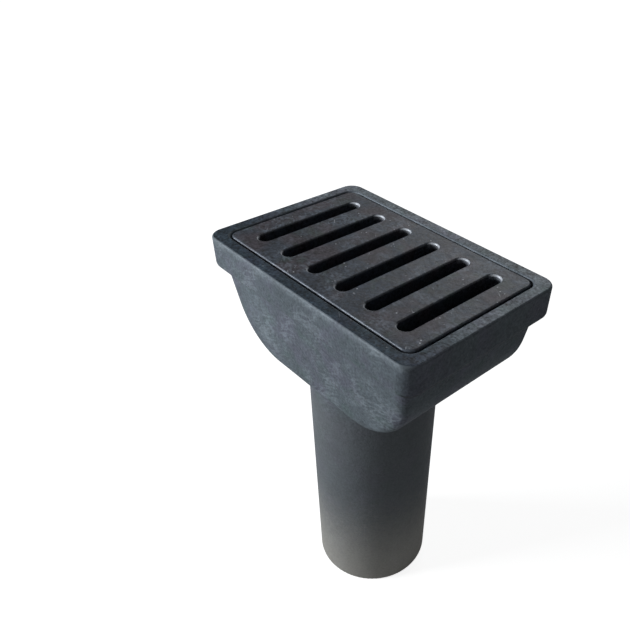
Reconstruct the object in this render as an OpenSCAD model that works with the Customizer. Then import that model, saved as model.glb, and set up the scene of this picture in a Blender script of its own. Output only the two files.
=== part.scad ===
// Cast deck drain: a rectangular frame with a lay-in slotted grate, on a hopper whose ends
// sweep down into one round outlet pipe. The frame, the hopper and the pipe are one casting.
// The origin is the middle of the pipe's lower end, with Z up and X along the grate.

/* [Frame] */
// Length of the frame
frame_l = 300; // [250:1:400]
// Width of the frame
frame_w = 200; // [194:1:260]
// Height of the band round the frame
band_h = 37; // [32:1:60]
// Radius of the frame's upright corners
frame_corner_r = 16; // [12:1:26]
// Rounding of the band's upper edge
band_top_round = 2.5; // [1:0.5:6]
// Rounding of the band's lower edge
band_low_round = 8; // [2:0.5:12]
// Width of the flat rim round the grate
rim_w = 14; // [10:0.5:20]
// Width of the ledge that carries the grate
ledge_w = 10; // [6:0.5:14]

/* [Hopper] */
// Depth of the hopper, from the band down to the pipe
hopper_h = 94.5; // [84:0.5:140]
// How far the hopper's end walls are set in from the band
end_inset = 11.5; // [8:0.5:16]
// How far the hopper's long walls are set in from the band
side_inset = 10; // [6:0.5:14]
// Radius of the hopper's upright corners, just under the band
hopper_corner_r = 10; // [8:1:18]
// Height that the hopper's walls stay upright under the band
hopper_straight_h = 4; // [2:1:12]
// How far each end wall leans in before it turns into the floor
end_lean = 2; // [0:0.5:20]
// How far each long wall leans in
side_lean = 4; // [1:0.5:8]
// Radius of the sweep from an end wall into the floor
end_sweep_r = 76; // [50:1:80]
// How far the floor falls from the hopper's ends to the pipe
floor_fall = 4; // [1:0.5:8]
// Radius of the hopper's lower edges
edge_r = 8; // [4:0.5:14]
// Wall thickness of the hopper
hopper_wall = 8; // [6:0.5:9]

/* [Outlet pipe] */
// Outside diameter of the pipe
pipe_d = 147; // [100:1:152]
// Wall thickness of the pipe
pipe_wall = 9.5; // [6:0.5:12]
// Length of the pipe below the hopper
pipe_l = 325.5; // [100:0.5:600]
// Casting radius where the pipe meets the hopper
neck_r = 20; // [8:1:24]
// Rounding of the pipe's lower end
pipe_end_round = 2; // [0.5:0.5:3]

/* [Grate] */
// Thickness of the grate
grate_t = 20; // [14:1:24]
// Gap between the grate and the frame, all round
grate_gap = 2.5; // [1:0.5:4]
// Radius of the grate's upright corners
grate_corner_r = 10; // [6:1:16]
// Rounding of the upper edges of the grate, its slots and its seat
lip_round = 2; // [0.5:0.25:2.5]
// Number of slots
slot_count = 6; // [3:1:7]
// Width of a slot at the top
slot_w = 15.5; // [10:0.5:18]
// Width of the solid border beyond the first and the last slot
end_border = 22.5; // [18:0.5:40]
// Width of the solid border at the slots' ends
side_border = 17.5; // [15:0.5:40]
// How much wider a slot is at the bottom than at the top, each side
slot_draft = 1; // [0:0.25:1.5]

/* [Hidden] */
$fn = 96;
// Facets of the pieces inside a hull
hull_fn = 48;
// How far a cut runs past the face that it opens
over = 1;

// Levels, from the pipe's lower end up
band_z = pipe_l + hopper_h;
frame_top = band_z + band_h;
seat_z = frame_top - grate_t;

// Seat, grate and slots
seat_l = frame_l - 2 * rim_w;
seat_w = frame_w - 2 * rim_w;
seat_corner_r = grate_corner_r + grate_gap;
grate_l = seat_l - 2 * grate_gap;
grate_w = seat_w - 2 * grate_gap;
slot_l = grate_w - 2 * side_border;
slot_pitch = (grate_l - 2 * end_border - slot_w) / (slot_count - 1);

// Hopper, outside, at its top and at its foot
hopper_l = frame_l - 2 * end_inset;
hopper_w = frame_w - 2 * side_inset;
foot_l = hopper_l - 2 * end_lean;
foot_w = hopper_w - 2 * side_lean;
// Smallest radius inside the casting
inner_r = 2;
// Least height of the hopper's upright walls
straight_least = 2;

// Pipe, and how far its casting radius turns out and up before it meets the hopper's floor
pipe_r = pipe_d / 2;
bore_r = pipe_r - pipe_wall;
neck_turn = 45;
neck_out = neck_r * (1 - cos(neck_turn));
neck_up = neck_r * sin(neck_turn);
// Flat ring at the foot of the hopper that the casting radius runs out on
neck_land = 0.5;
bore_round = 4;

// Mouth under the ledge, and the slope that opens it out to the hopper's inner walls
mouth_l = seat_l - 2 * ledge_w;
mouth_w = seat_w - 2 * ledge_w;
ledge_t = 9;
ledge_slope_h = 10;
ledge_z = seat_z - ledge_t;
cavity_top = ledge_z - ledge_slope_h;

// A centred rectangle with round corners
module round_rect(l, w, r) {
    square([l - 2 * r, w], center = true);
    square([l, w - 2 * r], center = true);
    for (x = [-1, 1], y = [-1, 1])
        translate([x * (l / 2 - r), y * (w / 2 - r)])
            circle(r);
}

// The same rectangle as an upright block from z0 to z1
module round_block(l, w, r, z0, z1) {
    translate([0, 0, z0])
        linear_extrude(z1 - z0)
            round_rect(l, w, r);
}

// Right half of an upright section of width 2 * half, from 0 to h, with its upper and lower
// outer edges rounded
module rolled_section(half, h, r_low, r_top) {
    translate([0, r_low])
        square([half, h - r_low - r_top]);
    square([half - r_low, h - r_top]);
    translate([0, r_low])
        square([half - r_top, h - r_low]);
    translate([half - r_low, r_low])
        intersection() {
            circle(r_low);
            translate([0, -r_low])
                square([r_low, r_low]);
        }
    translate([half - r_top, h - r_top])
        intersection() {
            circle(r_top);
            square(r_top);
        }
}

// One straight side of a rolled block, running along Y, with its outer face at x = reach
module rolled_side(reach, run, h, r_low, r_top) {
    translate([0, run / 2, 0])
        rotate([90, 0, 0])
            linear_extrude(run)
                rolled_section(reach, h, r_low, r_top);
}

// A block with round upright corners whose upper and lower outer edges are rounded all the way
// round: straight mouldings along the sides and turned quarters at the corners
module rolled_block(l, w, r, z0, z1, r_low, r_top) {
    h = z1 - z0;
    translate([0, 0, z0]) {
        for (a = [0, 180])
            rotate(a) {
                rolled_side(l / 2, w - 2 * r, h, r_low, r_top);
                rotate(90)
                    rolled_side(w / 2, l - 2 * r, h, r_low, r_top);
            }
        for (x = [-1, 1], y = [-1, 1])
            translate([x * (l / 2 - r), y * (w / 2 - r), 0])
                rotate(x > 0 ? (y > 0 ? 0 : 270) : (y > 0 ? 90 : 180))
                    rotate_extrude(angle = 90)
                        rolled_section(r, h, r_low, r_top);
    }
}

// What an upper edge loses when it is rolled over: the part above a quarter round, for a cut
// whose side is at x = half and whose top is at z = h
module eased_edge(half, h, r) {
    difference() {
        translate([half - over / 2, h - r])
            square([r + over / 2, r + over]);
        translate([half + r, h - r])
            circle(r);
    }
}

// Lower corner of the hopper: a quarter of a wheel that stands across the drain, from pointing
// down to pointing out. Its rim is the end sweep, and its round edge the hopper's lower edge
module sweep_quarter(sweep_r, edge) {
    rotate([90, 0, 0])
        rotate(-90)
            rotate_extrude(angle = 90, $fn = hull_fn * 2)
                translate([sweep_r - edge, 0])
                    circle(edge, $fn = hull_fn);
}

// The hopper as a solid form, drawn in by inset on every side, with its top at top_z
module hopper_form(inset, top_z) {
    corner = max(hopper_corner_r - inset, inner_r);
    edge = max(edge_r - inset, inner_r);
    straight_z = min(band_z - hopper_straight_h, top_z - straight_least);
    hull() {
        for (x = [0, 1], y = [-1, 1])
            mirror([x, 0, 0]) {
                translate([hopper_l / 2 - inset - corner,
                           y * (hopper_w / 2 - inset - corner),
                           straight_z])
                    cylinder(r = corner, h = top_z - straight_z, $fn = hull_fn);
                translate([foot_l / 2 - end_sweep_r,
                           y * (foot_w / 2 - inset - edge),
                           pipe_l + floor_fall + end_sweep_r])
                    sweep_quarter(end_sweep_r - inset, edge);
            }
        translate([0, 0, pipe_l + inset])
            cylinder(r = pipe_r + neck_out + neck_land - inset, h = floor_fall);
    }
}

// Space under the ledge, from the grate seat out to the hopper's inner walls
module mouth() {
    round_block(mouth_l, mouth_w, seat_corner_r, ledge_z, seat_z + over);
    hull() {
        round_block(mouth_l, mouth_w, seat_corner_r, ledge_z, ledge_z + over / 2, $fn = hull_fn);
        round_block(hopper_l - 2 * hopper_wall, hopper_w - 2 * hopper_wall,
                    max(hopper_corner_r - hopper_wall, inner_r),
                    cavity_top - over, cavity_top, $fn = hull_fn);
    }
}

// Recess that the grate lies in, with its upper edge rolled over
module grate_seat() {
    round_block(seat_l, seat_w, seat_corner_r, seat_z, frame_top + over);
    run_l = seat_l - 2 * seat_corner_r;
    run_w = seat_w - 2 * seat_corner_r;
    translate([0, 0, frame_top])
        for (a = [0, 180])
            rotate(a) {
                translate([0, run_w / 2, 0])
                    rotate([90, 0, 0])
                        linear_extrude(run_w)
                            eased_edge(seat_l / 2, 0, lip_round);
                rotate(90)
                    translate([0, run_l / 2, 0])
                        rotate([90, 0, 0])
                            linear_extrude(run_l)
                                eased_edge(seat_w / 2, 0, lip_round);
                for (y = [0, 1])
                    translate([run_l / 2, (y - 0.5) * run_w, 0])
                        rotate((y - 1) * 90)
                            rotate_extrude(angle = 90)
                                eased_edge(seat_corner_r, 0, lip_round);
            }
}

// Section of the outlet pipe, with the casting radius under the hopper and a rounded lower end
module pipe_section() {
    mid_r = pipe_r - pipe_wall / 2;
    translate([mid_r, 0])
        square([pipe_r - mid_r - pipe_end_round, pipe_l]);
    translate([bore_r + pipe_end_round, 0])
        square([mid_r - bore_r - pipe_end_round, pipe_l]);
    for (x = [bore_r + pipe_end_round, pipe_r - pipe_end_round])
        translate([x, pipe_end_round])
            circle(pipe_end_round);
    translate([bore_r, pipe_end_round])
        square([pipe_wall, pipe_l + hopper_wall / 2 - pipe_end_round]);
    difference() {
        translate([pipe_r - over, pipe_l - neck_up])
            square([neck_out + over, neck_up + floor_fall / 2]);
        translate([pipe_r + neck_r, pipe_l - neck_up])
            circle(neck_r);
    }
}

// Bore through the hopper's floor, with its upper edge rolled over
module floor_bore() {
    top = pipe_l + hopper_wall;
    translate([0, 0, pipe_l - over])
        cylinder(r = bore_r, h = hopper_wall + 2 * over);
    rotate_extrude()
        eased_edge(bore_r, top, bore_round);
}

module drain_body() {
    color("#46494d")
        difference() {
            union() {
                rolled_block(frame_l, frame_w, frame_corner_r, band_z, frame_top,
                             band_low_round, band_top_round);
                hopper_form(0, band_z + band_low_round);
                rotate_extrude()
                    pipe_section();
            }
            grate_seat();
            mouth();
            hopper_form(hopper_wall, cavity_top);
            floor_bore();
        }
}

// Right half of a slot's cross-section: it widens towards the bottom, and its upper edge
// rolls over into the top of the grate
module slot_section() {
    half = slot_w / 2;
    polygon([[0, -over], [half + slot_draft, -over], [half + slot_draft, 0],
             [half, grate_t - lip_round], [half, grate_t + over], [0, grate_t + over]]);
    eased_edge(half, grate_t, lip_round);
}

// One slot: a straight run with turned ends
module slot() {
    run = slot_l - slot_w;
    for (a = [0, 180])
        rotate(a) {
            translate([0, run / 2, 0])
                rotate([90, 0, 0])
                    linear_extrude(run)
                        slot_section();
            translate([0, run / 2, 0])
                rotate_extrude(angle = 180)
                    slot_section();
        }
}

module slotted_grate() {
    color("#3d3f42")
        translate([0, 0, seat_z])
            difference() {
                rolled_block(grate_l, grate_w, grate_corner_r, 0, grate_t, lip_round, lip_round);
                for (i = [0 : slot_count - 1])
                    translate([(i - (slot_count - 1) / 2) * slot_pitch, 0, 0])
                        slot();
            }
}

drain_body();
slotted_grate();
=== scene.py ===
"""Looks of a cast iron deck drain: its two castings, a pale studio floor, soft light, the camera.

All lengths are in metres, in the drain's own frame: Z is up from the pipe's lower end, and X
runs along the grate.
"""

import logging
import math
from dataclasses import dataclass
from enum import Enum
from typing import Any, Mapping, Optional, Sequence, Union

import bpy
from mathutils import Matrix, Vector


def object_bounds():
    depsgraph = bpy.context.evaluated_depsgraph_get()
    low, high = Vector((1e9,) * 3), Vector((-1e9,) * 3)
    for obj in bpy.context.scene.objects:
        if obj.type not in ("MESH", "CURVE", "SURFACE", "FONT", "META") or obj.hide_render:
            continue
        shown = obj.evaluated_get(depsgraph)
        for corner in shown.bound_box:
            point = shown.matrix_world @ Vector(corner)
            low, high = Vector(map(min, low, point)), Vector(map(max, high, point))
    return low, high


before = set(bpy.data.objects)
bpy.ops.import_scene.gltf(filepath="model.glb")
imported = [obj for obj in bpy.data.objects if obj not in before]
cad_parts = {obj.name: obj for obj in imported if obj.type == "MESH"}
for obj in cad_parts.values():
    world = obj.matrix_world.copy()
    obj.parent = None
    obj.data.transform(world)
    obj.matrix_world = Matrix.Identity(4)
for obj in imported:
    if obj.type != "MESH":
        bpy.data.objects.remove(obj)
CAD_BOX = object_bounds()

LOG = logging.getLogger("deck_drain")
MILLIMETRE = 0.001
CLOUD_MIDDLE = 0.5

Colour = tuple[float, float, float]
Point = tuple[float, float, float]
Span = tuple[float, float]
Level = Union["Value", float]
Term = Union["Value", float, Sequence[float]]

BLACK: Colour = (0.0, 0.0, 0.0)
WHITE: Colour = (1.0, 1.0, 1.0)


def screen_colour(red: float, green: float, blue: float) -> Colour:
    """Turns screen levels from 0 to 255 into the linear colour that shows as them.

    Args:
        red: Level of red.
        green: Level of green.
        blue: Level of blue.

    Returns:
        The linear colour.
    """
    def linear(level: float) -> float:
        """Undoes the screen's curve for one level."""
        share = level / 255
        return share / 12.92 if share <= 0.04045 else ((share + 0.055) / 1.055) ** 2.4

    return linear(red), linear(green), linear(blue)


class Casting(Enum):
    """The drain's two castings, by the names of their nodes."""

    BODY = "drain_body"
    GRATE = "slotted_grate"


class Operation(Enum):
    """Operations of the Math node that the shaders use."""

    ADD = "ADD"
    SUBTRACT = "SUBTRACT"
    MULTIPLY = "MULTIPLY"
    ABSOLUTE = "ABSOLUTE"


class Mixing(Enum):
    """Ways of laying one colour over another."""

    COVER = "MIX"
    TINT = "MULTIPLY"


class Value:
    """A value inside a node tree. Arithmetic on it adds Math nodes."""

    def __init__(self, graph: "Graph", socket: bpy.types.NodeSocket) -> None:
        """Wraps one output socket of the graph.

        Args:
            graph: The graph that the socket's node is in.
            socket: The output socket.
        """
        self.graph = graph
        self.socket = socket

    def _math(self, operation: Operation, *terms: Level) -> "Value":
        """Adds one Math node.

        Args:
            operation: What the node does.
            terms: Its inputs, in order.

        Returns:
            The node's result.
        """
        return self.graph.add("ShaderNodeMath", {"operation": operation.value},
                              dict(enumerate(terms)))

    def __add__(self, other: Level) -> "Value":
        """Returns the sum."""
        return self._math(Operation.ADD, self, other)

    def __radd__(self, other: Level) -> "Value":
        """Returns the sum, with this value second."""
        return self._math(Operation.ADD, other, self)

    def __sub__(self, other: Level) -> "Value":
        """Returns the difference."""
        return self._math(Operation.SUBTRACT, self, other)

    def __rsub__(self, other: Level) -> "Value":
        """Returns the difference, with this value second."""
        return self._math(Operation.SUBTRACT, other, self)

    def __mul__(self, other: Level) -> "Value":
        """Returns the product."""
        return self._math(Operation.MULTIPLY, self, other)

    def __rmul__(self, other: Level) -> "Value":
        """Returns the product, with this value second."""
        return self._math(Operation.MULTIPLY, other, self)

    def __abs__(self) -> "Value":
        """Returns the value without its sign."""
        return self._math(Operation.ABSOLUTE, self)

    def rise(self, low: float, high: float) -> "Value":
        """Eases from 0 at one level of the value to 1 at another.

        Args:
            low: Level where the result is 0.
            high: Level where the result is 1. Below low, the result falls instead.

        Returns:
            The eased value, which stays between 0 and 1.
        """
        if low < high:
            return self.graph.add(
                "ShaderNodeMapRange", {"interpolation_type": "SMOOTHSTEP"},
                {"Value": self, "From Min": low, "From Max": high})
        return 1 - self.rise(high, low)

    def parts(self) -> list["Value"]:
        """Splits a place or a direction.

        Returns:
            Its X, its Y and its Z.
        """
        split = self.graph.add("ShaderNodeSeparateXYZ", {}, {0: self})
        return [Value(self.graph, socket) for socket in split.socket.node.outputs]


class Graph:
    """A node tree that is built by calls."""

    def __init__(self, tree: bpy.types.NodeTree) -> None:
        """Takes over a node tree and empties it.

        Args:
            tree: The tree of a material, a world or a modifier.
        """
        self.tree = tree
        tree.nodes.clear()

    @staticmethod
    def _find(sockets: Sequence[bpy.types.NodeSocket],
              key: Union[int, str]) -> bpy.types.NodeSocket:
        """Finds a socket by its place or by its name among those in use.

        Args:
            sockets: A node's inputs or outputs.
            key: The socket's place or name.

        Returns:
            The socket.
        """
        if isinstance(key, int):
            return sockets[key]
        return next(s for s in sockets if s.name == key and s.enabled)

    def add(self, kind: str, settings: Optional[Mapping[str, Any]] = None,
            inputs: Optional[Mapping[Union[int, str], Term]] = None,
            output: Union[int, str] = 0) -> Value:
        """Adds a node of any type.

        Args:
            kind: The node's type.
            settings: Its settings by name. They are set before the inputs.
            inputs: The values or links of its inputs, by place or name.
            output: Place or name of the output to hand back.

        Returns:
            That output. A node without outputs gives its first input instead.
        """
        node = self.tree.nodes.new(kind)
        for name, setting in (settings or {}).items():
            setattr(node, name, setting)
        for key, term in (inputs or {}).items():
            socket = self._find(node.inputs, key)
            if isinstance(term, Value):
                self.tree.links.new(term.socket, socket)
            else:
                socket.default_value = term
        return Value(self, self._find(node.outputs or node.inputs, output))

    def blend(self, share: Level, first: Term, second: Term,
              how: Mixing = Mixing.COVER) -> Value:
        """Lays a second colour over a first.

        Args:
            share: How much of the second colour comes in, from 0 to 1.
            first: The first colour.
            second: The second colour.
            how: The way of mixing.

        Returns:
            The mixed colour.
        """
        ends = [c if isinstance(c, Value) else (*c, 1.0) for c in (first, second)]
        return self.add("ShaderNodeMix", {"data_type": "RGBA", "blend_type": how.value},
                        {"Factor": share, "A": ends[0], "B": ends[1]}, "Result")

    def grey(self, level: Value) -> Value:
        """Returns the grey of a level."""
        return self.add("ShaderNodeCombineXYZ", {}, {0: level, 1: level, 2: level})

    def stretch(self, place: Value, turn: Point, by: Point) -> Value:
        """Makes patterns long in one direction.

        Args:
            place: The place that the pattern is looked up at.
            turn: How far the pattern is turned about each axis.
            by: How much longer it gets along each of its own axes.

        Returns:
            The place to look the pattern up at instead.
        """
        return self.add("ShaderNodeMapping", {"vector_type": "TEXTURE"},
                        {"Vector": place, "Rotation": turn, "Scale": by})


@dataclass(frozen=True)
class Clouds:
    """A cloudy pattern, whose values lie round CLOUD_MIDDLE."""

    size: float
    detail: float = 2.0
    stirred: float = 0.0
    roughness: float = 0.5

    def at(self, place: Value) -> Value:
        """Looks the pattern up.

        Args:
            place: The place on the casting.

        Returns:
            The pattern's value there.
        """
        return place.graph.add("ShaderNodeTexNoise", {}, {
            "Vector": place, "Scale": 1 / self.size, "Detail": self.detail,
            "Distortion": self.stirred, "Roughness": self.roughness})

    def swing(self, place: Value) -> Value:
        """Returns the pattern's value at a place, moved to lie round 0."""
        return self.at(place) - CLOUD_MIDDLE


class Surface:
    """The point of a casting that a finish colours: its place, and which way it faces."""

    def __init__(self, graph: Graph) -> None:
        """Adds the nodes that tell the place and the facing.

        Args:
            graph: The material's graph.
        """
        self.graph = graph
        self.place = graph.add("ShaderNodeTexCoord", output="Object")
        self.x, self.y, self.height = self.place.parts()
        facing = graph.add("ShaderNodeTexCoord", output="Normal")
        self.toward_x, self.toward_y, self.upward = facing.parts()


@dataclass(frozen=True)
class Stains:
    """Broad stains: a cool grey that drifts to a warm and to a green one."""

    cool: Colour
    warm: Colour
    green: Colour

    warm_drift: Clouds = Clouds(34 * MILLIMETRE, stirred=0.3)
    warm_where: Span = (0.42, 0.66)
    green_drift: Clouds = Clouds(23.8 * MILLIMETRE, stirred=0.3)
    green_where: Span = (0.54, 0.72)
    green_share: float = 0.7
    green_apart: Point = (0.31, 0.17, 0.23)

    def colour(self, surface: Surface) -> Value:
        """Mixes the stained colour.

        Args:
            surface: The point on the casting.

        Returns:
            The colour there.
        """
        graph = surface.graph
        apart = graph.add("ShaderNodeVectorMath", {"operation": "ADD"},
                          {0: surface.place, 1: self.green_apart})
        warm = self.warm_drift.at(surface.place).rise(*self.warm_where)
        green = self.green_drift.at(apart).rise(*self.green_where) * self.green_share
        return graph.blend(green, graph.blend(warm, self.cool, self.warm), self.green)


@dataclass(frozen=True)
class RubbedStrip:
    """A light strip below the band's upper edge, rubbed in the same strokes as the swirls."""

    share: float
    where: Span

    tilt: Span = (0.9, 0.7)
    between_strokes: float = 0.1

    def strength(self, surface: Surface, wave: Value) -> Value:
        """Draws the strip.

        Args:
            surface: The point on the casting.
            wave: The pattern of the strokes.

        Returns:
            How strongly it shows there.
        """
        strip = surface.height.rise(*self.where) * surface.upward.rise(*self.tilt)
        return strip * (wave + self.between_strokes) * self.share


@dataclass(frozen=True)
class Swirls:
    """Thin light swirls in patches, as from rubbing, fainter low on the drain and at its ends."""

    colour: Colour
    share: float
    full_above: float
    strip: Optional[RubbedStrip] = None

    wave: Clouds = Clouds(8 * MILLIMETRE, detail=3.0, stirred=0.45, roughness=0.6)
    slant: Point = (0.0, math.radians(-28), 0.0)
    longer: Point = (3.4, 1.4, 1.0)
    line_where: Span = (0.82, 1.0)
    patches: Clouds = Clouds(44.2 * MILLIMETRE)
    patches_where: Span = (0.42, 0.60)
    fades_over: float = 50 * MILLIMETRE
    faded: float = 0.2
    end_walls: Span = (0.5, 0.9)
    end_walls_lose: float = 0.8

    def strength(self, surface: Surface) -> Value:
        """Draws the swirls, and the strip where there is one.

        Args:
            surface: The point on the casting.

        Returns:
            How strongly they show there.
        """
        wave = self.wave.at(surface.graph.stretch(surface.place, self.slant, self.longer))
        line = (1 - abs(wave - CLOUD_MIDDLE) * 2).rise(*self.line_where)
        patch = self.patches.at(surface.place).rise(*self.patches_where)
        reach = surface.height.rise(self.full_above - self.fades_over, self.full_above)
        reach = reach * (1 - self.faded) + self.faded
        strokes = line * patch * reach * self.share
        if self.strip:
            strokes = strokes + self.strip.strength(surface, wave)
        return strokes * (1 - abs(surface.toward_x).rise(*self.end_walls) * self.end_walls_lose)


@dataclass(frozen=True)
class Flecks:
    """Small pale flecks of grit and short scratches, in groups."""

    colour: Colour
    share: float

    spacing: float = 6 * MILLIMETRE
    fleck_where: Span = (0.18, 0.08)
    groups: Clouds = Clouds(20 * MILLIMETRE, detail=1.0)
    groups_where: Span = (0.54, 0.64)
    scratch: Clouds = Clouds(2.2 * MILLIMETRE, detail=1.0)
    scratch_where: Span = (0.70, 0.76)
    scratch_turn: Point = (0.0, 0.0, math.radians(-38))
    scratch_longer: Point = (7.0, 1.0, 1.0)
    scratch_share: float = 0.5

    def strength(self, surface: Surface) -> Value:
        """Scatters the flecks and scratches.

        Args:
            surface: The point on the casting.

        Returns:
            How strongly they show there.
        """
        graph, place = surface.graph, surface.place
        nearest = graph.add("ShaderNodeTexVoronoi", {"feature": "F1"},
                            {"Vector": place, "Scale": 1 / self.spacing}, "Distance")
        drawn = graph.stretch(place, self.scratch_turn, self.scratch_longer)
        scratch = self.scratch.at(drawn).rise(*self.scratch_where) * self.scratch_share
        group = self.groups.at(place).rise(*self.groups_where)
        return (nearest.rise(*self.fleck_where) + scratch) * group * self.share


@dataclass(frozen=True)
class WornAndHighlitEdges:
    """Rounded upper edges, rubbed down to the metal; on those that face -Y, toward the key lamp,
    the pale colour is also a painted highlight.
    """

    colour: Colour
    above: float
    outer: float
    inner: float
    broken: float

    fades_over: float = 1 * MILLIMETRE
    tilt_from: Span = (0.10, 0.30)
    tilt_until: Span = (0.99, 0.90)
    front_where: Span = (-0.05, -0.35)
    elsewhere: float = 0.12
    breaks: Clouds = Clouds(20 * MILLIMETRE, detail=3.0)
    breaks_where: Span = (0.60, 0.38)
    inner_half_x: float = 139 * MILLIMETRE
    inner_half_y: float = 89 * MILLIMETRE

    def strength(self, surface: Surface) -> Value:
        """Finds the rubbed edges, most of all those that face toward -Y, where the pale colour is
        also a painted highlight.

        Args:
            surface: The point on the casting.

        Returns:
            How rubbed it is there, painted highlight included.
        """
        edge = surface.upward.rise(*self.tilt_from) * surface.upward.rise(*self.tilt_until)
        # Edges facing -Y, toward the key lamp, take the full share: there the pale colour is a
        # painted highlight as well as wear.
        front = surface.toward_y.rise(*self.front_where)
        edge = edge * (self.elsewhere + front * (1 - self.elsewhere))
        high = surface.height.rise(self.above - self.fades_over, self.above)
        whole = 1 - self.breaks.at(surface.place).rise(*self.breaks_where) * self.broken
        half_x, half_y = self.inner_half_x, self.inner_half_y
        inside = (abs(surface.x).rise(half_x + self.fades_over, half_x)
                  * abs(surface.y).rise(half_y + self.fades_over, half_y))
        return edge * high * whole * (self.outer + inside * (self.inner - self.outer))


@dataclass(frozen=True)
class PaintedLipHighlights:
    """A painted highlight on the slots' end walls, strongest on the rolled lip at their top."""

    colour: Colour
    share: float
    lip_foot: float

    facing_where: Span = (0.15, 0.5)
    tilt_until: Span = (0.985, 0.90)
    slots_within: Span = (74 * MILLIMETRE, 70 * MILLIMETRE)
    wall_where: Span = (-5 * MILLIMETRE, -0.5 * MILLIMETRE)
    wall_share: float = 0.25
    lip_where: Span = (-0.4 * MILLIMETRE, 0.8 * MILLIMETRE)
    ragged: Clouds = Clouds(6 * MILLIMETRE)
    ragged_by: float = 2 * MILLIMETRE

    def strength(self, surface: Surface) -> Value:
        """Finds where the slots' end walls and rolled lip edges get their painted highlight.

        Args:
            surface: The point on the casting.

        Returns:
            How strong the painted highlight is there.
        """
        ends = abs(surface.toward_y).rise(*self.facing_where)
        tilted = surface.upward.rise(*self.tilt_until)
        slots = abs(surface.y).rise(*self.slots_within)
        ragged = self.ragged.swing(surface.place) * self.ragged_by
        level = surface.height - self.lip_foot + ragged
        # Painted highlight: strongest on the lip, fainter down the end wall.
        painted_highlight = (level.rise(*self.wall_where) * self.wall_share
                  + level.rise(*self.lip_where) * (1 - self.wall_share))
        return ends * tilted * slots * painted_highlight * self.share


@dataclass(frozen=True)
class PalerLowPipe:
    """The plainer lower part of the body, and a pale colour that grows toward the pipe's lower
    end.
    """

    plain: Colour
    plain_share: float
    plain_where: Span
    paler_end: Colour
    paler_end_share: float
    paler_end_where: Span

    paler_end_ragged: float = 50 * MILLIMETRE

    def low(self, surface: Surface) -> Value:
        """Tells the plainer lower part from the rest.

        Args:
            surface: The point on the casting.

        Returns:
            1 in the lower part, 0 in the upper one.
        """
        return 1 - surface.height.rise(*self.plain_where)

    def laid_on(self, surface: Surface, colour: Value, low: Value, blotch: Value) -> Value:
        """Fades a colour to the plain one, and makes it paler toward the pipe's lower end.

        Args:
            surface: The point on the casting.
            colour: The colour to start from.
            low: The lower part's mask.
            blotch: The blotches, round 0, that the pale part's edge follows.

        Returns:
            The new colour.
        """
        graph = surface.graph
        colour = graph.blend(low * self.plain_share, colour, self.plain)
        paler_end_mask = (surface.height + blotch * self.paler_end_ragged).rise(*self.paler_end_where)
        return graph.blend(paler_end_mask * self.paler_end_share, colour, self.paler_end)


@dataclass(frozen=True)
class RimShadeAndSheen:
    """The top of the rim: darker and bluer on the near side, a painted shade, and lighter on the
    far side, a painted sheen.
    """

    near: Colour
    far: Colour

    slant: float = 0.2
    far_where: Span = (-90 * MILLIMETRE, 60 * MILLIMETRE)

    def laid_on(self, surface: Surface, colour: Value, top: Value) -> Value:
        """Paints shade on the near side of the rim's top and sheen on its far side.

        Args:
            surface: The point on the casting.
            colour: The colour to start from.
            top: Mask of the faces that look up.

        Returns:
            The new colour.
        """
        graph = surface.graph
        far = (surface.x * self.slant + surface.y).rise(*self.far_where)
        # Painted shade toward the near side, painted sheen toward the far side.
        tint = graph.blend(far, self.near, self.far)
        return graph.blend(top, colour, graph.blend(1.0, colour, tint, Mixing.TINT))


@dataclass(frozen=True)
class PaintedLightPool:
    """A painted pool of light low on the near wall, toward its -X end."""

    centre: Point = (-82 * MILLIMETRE, -90 * MILLIMETRE, 385 * MILLIMETRE)
    radius: float = 60 * MILLIMETRE
    lighter: float = 0.2

    def factor(self, surface: Surface) -> Value:
        """Finds how much lighter the painted pool of light makes the casting.

        Args:
            surface: The point on the casting.

        Returns:
            A factor for the colour.
        """
        away = surface.graph.add("ShaderNodeVectorMath", {"operation": "DISTANCE"},
                                 {0: surface.place, 1: self.centre}, "Value")
        # Painted pool of light, strongest at its centre.
        return 1 + away.rise(self.radius, 0.0) * self.lighter


@dataclass(frozen=True)
class BandUndersideShade:
    """Painted shade under the band, at the two ends of the hopper."""

    share: float = 0.6
    downward: Span = (-0.05, -0.50)
    endways: Span = (0.2, 0.5)
    band_foot: Span = (408 * MILLIMETRE, 414 * MILLIMETRE)

    def factor(self, surface: Surface) -> Value:
        """Paints shade on the band's underside.

        Args:
            surface: The point on the casting.

        Returns:
            A factor for the colour.
        """
        # Painted shade on faces that look down, just under the band.
        under = surface.upward.rise(*self.downward) * surface.height.rise(*self.band_foot)
        return 1 - under * abs(surface.toward_x).rise(*self.endways) * self.share


@dataclass(frozen=True)
class SlotWallShade:
    """Painted shade on the upright walls of the grate and its slots."""

    share: float = 0.3
    upright: Span = (0.85, 0.40)

    def factor(self, surface: Surface) -> Value:
        """Returns a factor for the colour, which paints shade on the walls."""
        # Painted shade, strongest on faces that stand upright.
        return 1 - abs(surface.upward).rise(*self.upright) * self.share


@dataclass(frozen=True)
class Mottle:
    """Unevenness of the colour: fine speckles, blotches and soft patches."""

    amount: float
    on_top: float = 0.0

    speckles: Clouds = Clouds(2.56 * MILLIMETRE)
    speckle_share: float = 1.5
    blotch_share: float = 0.8
    patches: Clouds = Clouds(22 * MILLIMETRE, stirred=0.4)
    patch_share: float = 0.5
    calmer_below: float = 0.6

    def factor(self, surface: Surface, blotch: Value, top: Value, low: Level) -> Value:
        """Makes the colour uneven.

        Args:
            surface: The point on the casting.
            blotch: The blotches, round 0.
            top: Mask of the faces that look up.
            low: Mask of the plainer lower part.

        Returns:
            A factor for the colour.
        """
        uneven = (self.speckles.swing(surface.place) * self.speckle_share
                  + blotch * self.blotch_share
                  + self.patches.swing(surface.place) * self.patch_share)
        contrast = (1 - low * self.calmer_below + top * self.on_top) * self.amount
        return 1 + uneven * contrast


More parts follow.
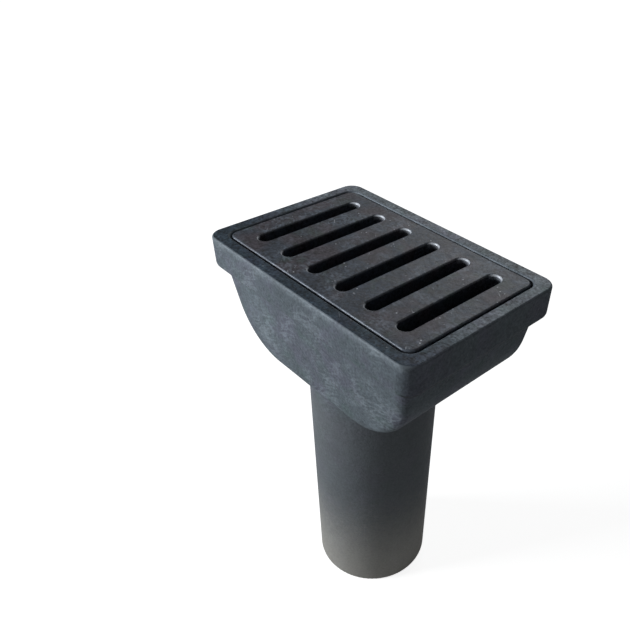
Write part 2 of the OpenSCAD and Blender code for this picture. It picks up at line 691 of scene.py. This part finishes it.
@dataclass(frozen=True)
class Relief:
    """The sandy skin: grains, shallow pits and a slow unevenness."""

    depth: float

    slow_depth: float = 0.9 * MILLIMETRE
    grains: Clouds = Clouds(1.6 * MILLIMETRE)
    pits: Clouds = Clouds(4.5 * MILLIMETRE, detail=3.0)
    pits_where: Span = (0.30, 0.52)
    pit_share: float = 0.8
    slow: Clouds = Clouds(30 * MILLIMETRE)
    worn_smooth: float = 0.8

    def normal(self, surface: Surface, wear_and_highlight: Value) -> Value:
        """Roughens the surface.

        Args:
            surface: The point on the casting.
            wear_and_highlight: How rubbed it is there, painted highlight included, which smooths
                it.

        Returns:
            The roughened normal.
        """
        graph, place = surface.graph, surface.place
        rough = self.grains.at(place) + self.pits.at(place).rise(*self.pits_where) * self.pit_share
        fine = graph.add("ShaderNodeBump", {}, {
            "Strength": 1.0, "Distance": self.depth,
            "Height": rough * (1 - wear_and_highlight * self.worn_smooth)})
        return graph.add("ShaderNodeBump", {}, {
            "Strength": 1.0, "Distance": self.slow_depth, "Height": self.slow.at(place),
            "Normal": fine})


@dataclass(frozen=True)
class IronSkin:
    """As-cast iron with a dull sandy skin, everything that lies on it, and the painted shade,
    sheen, highlights and pool of light laid over it.
    """

    name: str
    stains: Stains
    swirls: Swirls
    flecks: Flecks
    edges: WornAndHighlitEdges
    painted_shade: Union[BandUndersideShade, SlotWallShade]
    mottle: Mottle
    relief: Relief
    dull: float
    top_sheen: float
    gloss: float
    pipe: Optional[PalerLowPipe] = None
    rim: Optional[RimShadeAndSheen] = None
    light_pool: Optional[PaintedLightPool] = None
    lip_highlights: Optional[PaintedLipHighlights] = None

    blotches: Clouds = Clouds(6 * MILLIMETRE, detail=3.0)
    blotch_dullness: float = 0.25
    worn_polish: float = 0.15
    worn_metal: float = 0.4
    top_where: Span = (0.90, 0.98)

    def _shade(self, surface: Surface, blotch: Value, top: Value, low: Level) -> Value:
        """Works out how light or dark the colour gets, painted shade and a painted pool of light
        included.

        Args:
            surface: The point on the casting.
            blotch: The blotches, round 0.
            top: Mask of the faces that look up.
            low: Mask of the plainer lower part.

        Returns:
            A factor for the colour.
        """
        # Painted shade, under the band on the body and on the walls of the grate, times a painted
        # pool of light where there is one.
        shade = self.mottle.factor(surface, blotch, top, low) * self.painted_shade.factor(surface)
        return shade * self.light_pool.factor(surface) if self.light_pool else shade

    def _colour(self, surface: Surface, blotch: Value, top: Value, wear_and_highlight: Value) -> Value:
        """Lays the colours over each other, from the stains up.

        Args:
            surface: The point on the casting.
            blotch: The blotches, round 0.
            top: Mask of the faces that look up.
            wear_and_highlight: How rubbed the surface is, painted highlight included.

        Returns:
            The finished colour.
        """
        graph = surface.graph
        low: Level = 0.0
        colour = self.stains.colour(surface)
        if self.pipe:
            low = self.pipe.low(surface)
            colour = self.pipe.laid_on(surface, colour, low, blotch)
        colour = graph.blend(self.swirls.strength(surface), colour, self.swirls.colour)
        shade = graph.grey(self._shade(surface, blotch, top, low))
        colour = graph.blend(1.0, colour, shade, Mixing.TINT)
        # Painted shade and sheen on the rim's top.
        if self.rim:
            colour = self.rim.laid_on(surface, colour, top)
        colour = graph.blend(self.flecks.strength(surface) * top, colour, self.flecks.colour)
        # Pale metal on rubbed edges, which on the edges facing the key lamp is also a painted
        # highlight.
        colour = graph.blend(wear_and_highlight, colour, self.edges.colour)
        # Painted highlight on the slots' end walls and rolled lip edges.
        if self.lip_highlights:
            colour = graph.blend(self.lip_highlights.strength(surface), colour, self.lip_highlights.colour)
        return colour

    def build(self) -> bpy.types.Material:
        """Builds the material.

        Returns:
            The finished material.
        """
        material = bpy.data.materials.new(self.name)
        material.use_nodes = True
        graph = Graph(material.node_tree)
        surface = Surface(graph)
        blotch = self.blotches.swing(surface.place)
        top = surface.upward.rise(*self.top_where)
        wear_and_highlight = self.edges.strength(surface)
        roughness = (self.dull + blotch * self.blotch_dullness
                     - wear_and_highlight * self.worn_polish - top * self.top_sheen)
        skin = graph.add("ShaderNodeBsdfPrincipled", {}, {
            "Base Color": self._colour(surface, blotch, top, wear_and_highlight),
            "Roughness": roughness,
            "Metallic": wear_and_highlight * self.worn_metal,
            "Specular IOR Level": self.gloss,
            "Normal": self.relief.normal(surface, wear_and_highlight),
        })
        graph.add("ShaderNodeOutputMaterial", {}, {"Surface": skin})
        return material


@dataclass
class DrainCasting:
    """One casting of the drain, as model.glb holds it, with its finish."""

    casting: Casting
    skin: IronSkin
    slot: str
    sharp_angle: float = math.radians(42)
    weld: float = 0.01 * MILLIMETRE

    @property
    def piece(self) -> bpy.types.Object:
        """Returns the casting's object, as imported from model.glb."""
        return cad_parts[self.casting.value]

    def _shading_group(self) -> bpy.types.NodeTree:
        """Builds the node group that shades the casting smooth up to an angle.

        Returns:
            The node group.
        """
        tree = bpy.data.node_groups.new(f"{self.casting.value}_shading", "GeometryNodeTree")
        tree.interface.new_socket("Geometry", in_out="INPUT", socket_type="NodeSocketGeometry")
        tree.interface.new_socket("Geometry", in_out="OUTPUT", socket_type="NodeSocketGeometry")
        graph = Graph(tree)
        mesh = graph.add("NodeGroupInput")
        bend = graph.add("GeometryNodeInputMeshEdgeAngle", output="Unsigned Angle")
        smooth = graph.add("GeometryNodeSetShadeSmooth", {"domain": "FACE"},
                           {"Geometry": mesh, "Shade Smooth": True})
        sharp = graph.add("FunctionNodeCompare", {"operation": "GREATER_THAN"},
                          {"A": bend, "B": self.sharp_angle})
        split = graph.add("GeometryNodeSetShadeSmooth", {"domain": "EDGE"},
                          {"Geometry": smooth, "Selection": sharp, "Shade Smooth": False})
        graph.add("NodeGroupOutput", {}, {"Geometry": split})
        return tree

    def shade(self) -> None:
        """Rounds the shading over the casting's small facets, and keeps its flat faces flat."""
        weld = self.piece.modifiers.new("weld", "WELD")
        weld.merge_threshold = self.weld
        soften = self.piece.modifiers.new("soften", "NODES")
        soften.node_group = self._shading_group()
        weight = self.piece.modifiers.new("weight", "WEIGHTED_NORMAL")
        weight.keep_sharp = True

    def dress(self) -> None:
        """Gives the casting its finish."""
        self.piece.data.materials.clear()
        self.piece.data.materials.append(self.skin.build())
        LOG.info("%s: dressed as %s", self.casting.value, self.skin.name)


@dataclass
class Drain:
    """The whole drain: the body with its pipe, and the grate that lies in it."""

    top: float
    band_round: float = 5 * MILLIMETRE
    lip_round: float = 2 * MILLIMETRE
    strip_foot: float = 9 * MILLIMETRE
    strip_full: float = 2 * MILLIMETRE
    pipe_joins: float = 340 * MILLIMETRE
    pipe_plain: float = 280 * MILLIMETRE
    paler_end_lies: Span = (190 * MILLIMETRE, -20 * MILLIMETRE)

    def body_skin(self) -> IronSkin:
        """Mixes the body's finish: blue-grey, with swirls, a pipe paler toward its lower end,
        painted shade under the band and on the rim's near side, painted sheen on its far side,
        painted highlights on edges and a painted pool of light.

        Returns:
            The finish.
        """
        strip = RubbedStrip(share=0.6, where=(self.top - self.strip_foot,
                                              self.top - self.strip_full))
        return IronSkin(
            name="dusty_cast_iron",
            stains=Stains(cool=screen_colour(97, 107, 115), warm=screen_colour(101, 106, 119),
                          green=screen_colour(92, 107, 110)),
            swirls=Swirls(colour=screen_colour(148, 159, 168), share=0.36,
                          full_above=self.pipe_joins, strip=strip),
            flecks=Flecks(colour=screen_colour(190, 194, 200), share=0.4),
            # Pale edge colour: wear, and a painted highlight on the edges facing -Y.
            edges=WornAndHighlitEdges(colour=screen_colour(128, 136, 146), above=self.top - self.band_round,
                            outer=0.45, inner=0.7, broken=0.75),
            # Painted shade under the band at the hopper's ends.
            painted_shade=BandUndersideShade(),
            mottle=Mottle(amount=0.75, on_top=1.6),
            relief=Relief(depth=0.2 * MILLIMETRE),
            dull=0.62, top_sheen=0.2, gloss=0.18,
            pipe=PalerLowPipe(plain=screen_colour(110, 114, 118), plain_share=0.6,
                           plain_where=(self.pipe_plain, self.pipe_joins),
                           paler_end=screen_colour(182, 180, 175), paler_end_share=0.9,
                           paler_end_where=self.paler_end_lies),
            # The near tint is painted shade, the far tint painted sheen.
            rim=RimShadeAndSheen(near=(0.32, 0.39, 0.46), far=(1.42, 1.38, 1.34)),
            # A painted pool of light on the near wall.
            light_pool=PaintedLightPool())

    def grate_skin(self) -> IronSkin:
        """Mixes the grate's finish: charcoal, smoother, with pale flecks, painted shade on its
        walls and a painted highlight at the slots' ends.

        Returns:
            The finish.
        """
        lip_foot = self.top - self.lip_round
        return IronSkin(
            name="charcoal_cast_iron",
            stains=Stains(cool=screen_colour(60, 68, 80), warm=screen_colour(71, 67, 75),
                          green=screen_colour(60, 74, 72)),
            swirls=Swirls(colour=screen_colour(132, 144, 158), share=0.3,
                          full_above=self.pipe_joins),
            flecks=Flecks(colour=screen_colour(230, 236, 246), share=0.8),
            # Pale edge colour: wear, and a painted highlight on the edges facing -Y.
            edges=WornAndHighlitEdges(colour=screen_colour(134, 144, 158), above=lip_foot,
                            outer=0.5, inner=0.5, broken=0.4),
            # Painted shade on the grate's upright walls.
            painted_shade=SlotWallShade(),
            mottle=Mottle(amount=1.9),
            relief=Relief(depth=0.12 * MILLIMETRE),
            dull=0.48, top_sheen=0.06, gloss=0.4,
            # Near-white painted highlight on the slots' end walls and rolled lip edges.
            lip_highlights=PaintedLipHighlights(colour=screen_colour(230, 236, 246), share=0.9, lip_foot=lip_foot))

    def make(self) -> None:
        """Shades and dresses both castings."""
        for piece in (DrainCasting(Casting.BODY, self.body_skin(), "body_casting"),
                      DrainCasting(Casting.GRATE, self.grate_skin(), "grate_casting")):
            piece.shade()
            piece.dress()


@dataclass(frozen=True)
class PhotoCamera:
    """The camera that sees the drain as the photograph does."""

    image_width: float = 630.0
    axis_column: float = 398.0
    axis_row: float = 386.0
    focal_pixels: float = 629.5
    azimuth: float = math.radians(44.79)
    elevation: float = math.radians(40.85)
    roll: float = math.radians(2.48)
    from_frame_top: Point = (0.4099, -0.3732, 0.3117)
    sensor: float = 36.0

    def make(self, frame_top: float) -> None:
        """Places the camera.

        Args:
            frame_top: Height of the drain's top face.
        """
        data = bpy.data.cameras.new("photo_camera")
        data.sensor_width = self.sensor
        data.lens = self.sensor * self.focal_pixels / self.image_width
        data.shift_x = (self.image_width / 2 - self.axis_column) / self.image_width
        data.shift_y = (self.axis_row - self.image_width / 2) / self.image_width
        camera = bpy.data.objects.new("photo_camera", data)
        turn = (Matrix.Rotation(self.azimuth, 4, "Z")
                @ Matrix.Rotation(math.pi / 2 - self.elevation, 4, "X")
                @ Matrix.Rotation(self.roll, 4, "Z"))
        place = Vector(self.from_frame_top) + Vector((0.0, 0.0, frame_top))
        camera.matrix_world = Matrix.Translation(place) @ turn
        bpy.context.scene.collection.objects.link(camera)
        bpy.context.scene.camera = camera
        LOG.info("camera at %s", [round(v, 2) for v in place])


@dataclass(frozen=True)
class Lamp:
    """One soft area lamp."""

    name: str
    azimuth: float
    elevation: float
    distance: float
    width: float
    height: float
    level: float
    colour: Colour

    def make(self, target: Vector) -> None:
        """Hangs the lamp round a target and turns it that way.

        Args:
            target: The point that the lamp looks at.
        """
        data = bpy.data.lights.new(self.name, "AREA")
        data.shape = "RECTANGLE"
        data.size = self.width
        data.size_y = self.height
        data.energy = self.level * math.pi ** 2 * self.distance ** 2
        data.color = self.colour
        lamp = bpy.data.objects.new(self.name, data)
        turn, rise = math.radians(self.azimuth), math.radians(self.elevation)
        away = Vector((math.sin(turn) * math.cos(rise), -math.cos(turn) * math.cos(rise),
                       math.sin(rise)))
        lamp.location = target + away * self.distance
        lamp.rotation_mode = "QUATERNION"
        lamp.rotation_quaternion = away.to_track_quat("Z", "Y")
        bpy.context.scene.collection.objects.link(lamp)
        LOG.info("lamp %s at %s", self.name, [round(v, 2) for v in lamp.location])


@dataclass(frozen=True)
class Studio:
    """Pale floor, white surroundings and soft lamps."""

    floor_reach: float = 6.0
    floor_colour: Colour = (0.62, 0.62, 0.62)
    floor_roughness: float = 0.9
    floor_lift: float = 0.85
    white_from: Span = (0.6, 2.0)
    bore_edge: Span = (64 * MILLIMETRE, 70 * MILLIMETRE)
    sky: Colour = (0.082, 0.082, 0.08)
    mirrored: float = 0.15
    lamps: tuple[Lamp, ...] = (
        Lamp("key", azimuth=-37.0, elevation=26.0, distance=1.5, width=0.62, height=0.45,
             level=0.70, colour=(0.97, 0.99, 1.0)),
        Lamp("sheen", azimuth=205.0, elevation=34.0, distance=3.0, width=2.0, height=1.6,
             level=0.17, colour=(0.96, 0.98, 1.0)),
    )

    def _seen(self, graph: Graph) -> Value:
        """Tells rays that show the surroundings from those that bring light.

        Args:
            graph: The graph of the floor or the world.

        Returns:
            1 for rays from the camera or through glass, less for mirrored ones, 0 for the others.
        """
        camera = graph.add("ShaderNodeLightPath", output="Is Camera Ray")
        glossy = graph.add("ShaderNodeLightPath", output="Is Glossy Ray")
        through = graph.add("ShaderNodeLightPath", output="Is Transmission Ray")
        return camera + through + glossy * self.mirrored

    def _floor_material(self) -> bpy.types.Material:
        """Builds the floor's finish: pale, white to the camera, and clear from below.

        Returns:
            The floor's material.
        """
        material = bpy.data.materials.new("pale_floor")
        material.use_nodes = True
        graph = Graph(material.node_tree)
        below = graph.add("ShaderNodeNewGeometry", output="Backfacing")
        place = graph.add("ShaderNodeTexCoord", output="Object")
        away = graph.add("ShaderNodeVectorMath", {"operation": "LENGTH"}, {0: place}, "Value")
        white = graph.blend(away.rise(*self.white_from), (self.floor_lift,) * 3, WHITE)
        outside = away.rise(*self.bore_edge)
        lift = graph.blend(self._seen(graph) * outside, BLACK, white)
        matt = graph.add("ShaderNodeBsdfPrincipled", {}, {
            "Base Color": (*self.floor_colour, 1.0), "Roughness": self.floor_roughness,
            "Emission Color": lift, "Emission Strength": 1.0})
        clear = graph.add("ShaderNodeBsdfTransparent")
        surface = graph.add("ShaderNodeMixShader", {}, {0: below, 1: matt, 2: clear})
        graph.add("ShaderNodeOutputMaterial", {}, {"Surface": surface})
        return material

    def make_floor(self) -> None:
        """Lays the floor under the pipe's end."""
        reach = self.floor_reach
        mesh = bpy.data.meshes.new("floor")
        corners = [(-reach, -reach, 0.0), (reach, -reach, 0.0),
                   (reach, reach, 0.0), (-reach, reach, 0.0)]
        mesh.from_pydata(corners, [], [(0, 1, 2, 3)])
        mesh.materials.append(self._floor_material())
        floor = bpy.data.objects.new("floor", mesh)
        bpy.context.scene.collection.objects.link(floor)
        LOG.info("floor laid, %.0f m wide", 2 * reach)

    def make_world(self) -> None:
        """Surrounds the scene: white to the camera, and a dim sky to the drain."""
        world = bpy.data.worlds.new("studio")
        bpy.context.scene.world = world
        world.use_nodes = True
        graph = Graph(world.node_tree)
        colour = graph.blend(self._seen(graph), self.sky, WHITE)
        light = graph.add("ShaderNodeBackground", {}, {"Color": colour, "Strength": 1.0})
        graph.add("ShaderNodeOutputWorld", {}, {"Surface": light})

    def make(self, target: Vector) -> None:
        """Builds the studio.

        Args:
            target: The point that the lamps look at.
        """
        self.make_floor()
        self.make_world()
        for lamp in self.lamps:
            lamp.make(target)
        bpy.context.scene.view_settings.view_transform = "Standard"


def main() -> None:
    """Builds the camera, the drain and the studio."""
    logging.basicConfig(level=logging.INFO, format="%(name)s: %(message)s")
    low, high = CAD_BOX
    PhotoCamera().make(high.z)
    Drain(top=high.z).make()
    Studio().make((low + high) / 2)


if __name__ == "__main__":
    main()
